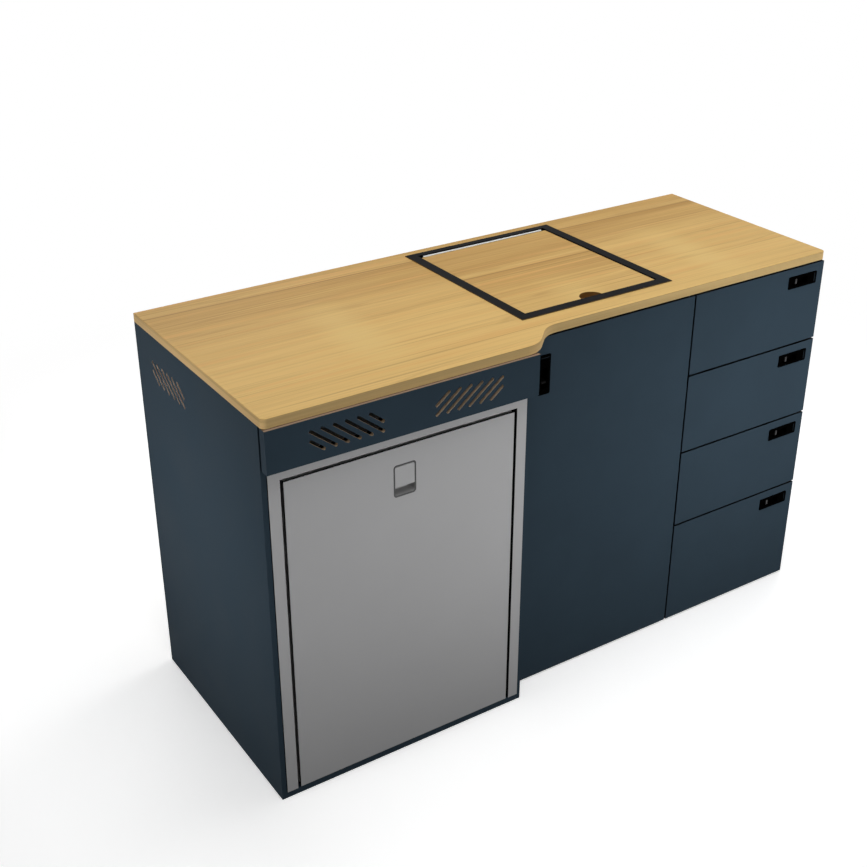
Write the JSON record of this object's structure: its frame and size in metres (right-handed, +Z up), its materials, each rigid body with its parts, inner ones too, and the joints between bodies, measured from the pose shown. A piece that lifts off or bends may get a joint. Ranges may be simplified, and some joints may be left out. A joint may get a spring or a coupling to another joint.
{
  "type": "campervan kitchen pod",
  "caption": "Low camper kitchen unit: fridge housing with vented valance, cupboard under a lidded sink, stacked drawers with slide latches, stepped wooden worktop.",
  "frame": {"origin": "on the floor, under the middle of the outer box", "axes": "+X to the right along the length, +Y from front to back, +Z up"},
  "size_m": [1.378, 0.5508, 0.823],
  "materials": {
    "navy_board": "smooth satin laminate on plywood",
    "oak_board": "satin, fine straight grain",
    "birch_ply": "bare plywood",
    "grey_enamel": "satin",
    "grey_plastic": "satin",
    "dark_plastic": "matt",
    "black_plastic": "matt",
    "latch_metal": "satin",
    "black_metal": "satin black",
    "black_enamel": "semi-gloss",
    "stainless": "brushed",
    "zinc_steel": "bright zinc",
    "alloy": "satin",
    "white_plastic": "gloss",
    "white_wire": "coated",
    "clear_plastic": "clear",
    "seal_rubber": "soft matt",
    "foam": "closed-cell foam"
  },
  "bodies": {
    "carcass": {"left_side_panel": "navy_board", "fridge_divider": "navy_board", "centre_divider": "navy_board", "right_side_panel": "navy_board", "base_panel": "navy_board", "back_panel": "birch_ply", "cupboard_shelf": "birch_ply", "carcass_rails": "birch_ply", "worktop": "oak_board", "worktop_screws": "zinc_steel", "vent_valance": "navy_board", "valance_clips": "black_plastic", "runner_channels": "zinc_steel", "latch_strikes": "zinc_steel", "door_pivot_brackets": "zinc_steel", "lid_trim_frame": "black_metal", "lid_hinge_fixed_leaf": "stainless", "sink_bowl": "stainless", "sink_waste": "stainless", "fridge_frame": "grey_enamel", "fridge_collar": "black_plastic", "fridge_case": "grey_enamel", "fridge_insulation": "foam", "fridge_liner": "white_plastic", "fridge_shelves": "white_wire", "evaporator": "alloy", "fridge_hinge_brackets": "zinc_steel", "condenser": "black_enamel", "compressor": "black_enamel"},
    "cupboard_door": {"cupboard_door": "navy_board", "door_latch_housing": "black_plastic"},
    "door_latch": {"door_latch_slider": "latch_metal"},
    "sink_lid": {"sink_lid": "oak_board", "lid_hinge_moving_leaf": "stainless"},
    "fridge_door": {"fridge_door_skin": "grey_enamel", "fridge_door_core": "white_plastic", "fridge_door_seal": "seal_rubber", "fridge_door_racks": "clear_plastic", "fridge_handle_cup": "dark_plastic"},
    "fridge_handle": {"fridge_handle_flap": "grey_plastic"},
    "drawer_1": {"drawer_1_front": "navy_board", "drawer_1_box": "birch_ply", "drawer_1_slides": "zinc_steel", "drawer_1_latch_housing": "black_plastic"},
    "drawer_1_latch": {"drawer_1_latch_slider": "latch_metal"},
    "drawer_2": {"drawer_2_front": "navy_board", "drawer_2_box": "birch_ply", "drawer_2_slides": "zinc_steel", "drawer_2_latch_housing": "black_plastic"},
    "drawer_2_latch": {"drawer_2_latch_slider": "latch_metal"},
    "drawer_3": {"drawer_3_front": "navy_board", "drawer_3_box": "birch_ply", "drawer_3_slides": "zinc_steel", "drawer_3_latch_housing": "black_plastic"},
    "drawer_3_latch": {"drawer_3_latch_slider": "latch_metal"},
    "drawer_4": {"drawer_4_front": "navy_board", "drawer_4_box": "birch_ply", "drawer_4_slides": "zinc_steel", "drawer_4_latch_housing": "black_plastic"},
    "drawer_4_latch": {"drawer_4_latch_slider": "latch_metal"}
  },
  "joints": [
    {"name": "fridge_door_swing", "type": "hinge", "parent": "carcass", "child": "fridge_door", "pos_m": [-0.1733, -0.2456, 0.35], "axis": [0, 0, 1], "range_deg": [0, 100]},
    {"name": "fridge_handle_pull", "type": "hinge", "parent": "fridge_door", "child": "fridge_handle", "pos_m": [-0.4086, -0.2518, 0.6444], "axis": [-1, 0, 0], "range_deg": [0, 25], "stiffness_Nm_per_rad": 0.02},
    {"name": "cupboard_door_swing", "type": "hinge", "parent": "carcass", "child": "cupboard_door", "pos_m": [0.304, -0.2014, 0.4], "axis": [0, 0, 1], "range_deg": [0, 90]},
    {"name": "door_latch_slide", "type": "slide", "parent": "cupboard_door", "child": "door_latch", "axis": [0, 0, 1], "range_m": [0, 0.01]},
    {"name": "sink_lid_swing", "type": "hinge", "parent": "carcass", "child": "sink_lid", "pos_m": [0.1015, 0.2334, 0.82], "axis": [-1, 0, 0], "range_deg": [0, 95]},
    {"name": "drawer_1_slide", "type": "slide", "parent": "carcass", "child": "drawer_1", "axis": [0, -1, 0], "range_m": [0, 0.3]},
    {"name": "drawer_1_latch_slide", "type": "slide", "parent": "drawer_1", "child": "drawer_1_latch", "axis": [1, 0, 0], "range_m": [0, 0.01]},
    {"name": "drawer_2_slide", "type": "slide", "parent": "carcass", "child": "drawer_2", "axis": [0, -1, 0], "range_m": [0, 0.3]},
    {"name": "drawer_2_latch_slide", "type": "slide", "parent": "drawer_2", "child": "drawer_2_latch", "axis": [1, 0, 0], "range_m": [0, 0.01]},
    {"name": "drawer_3_slide", "type": "slide", "parent": "carcass", "child": "drawer_3", "axis": [0, -1, 0], "range_m": [0, 0.3]},
    {"name": "drawer_3_latch_slide", "type": "slide", "parent": "drawer_3", "child": "drawer_3_latch", "axis": [1, 0, 0], "range_m": [0, 0.01]},
    {"name": "drawer_4_slide", "type": "slide", "parent": "carcass", "child": "drawer_4", "axis": [0, -1, 0], "range_m": [0, 0.3]},
    {"name": "drawer_4_latch_slide", "type": "slide", "parent": "drawer_4", "child": "drawer_4_latch", "axis": [1, 0, 0], "range_m": [0, 0.01]}
  ]
}
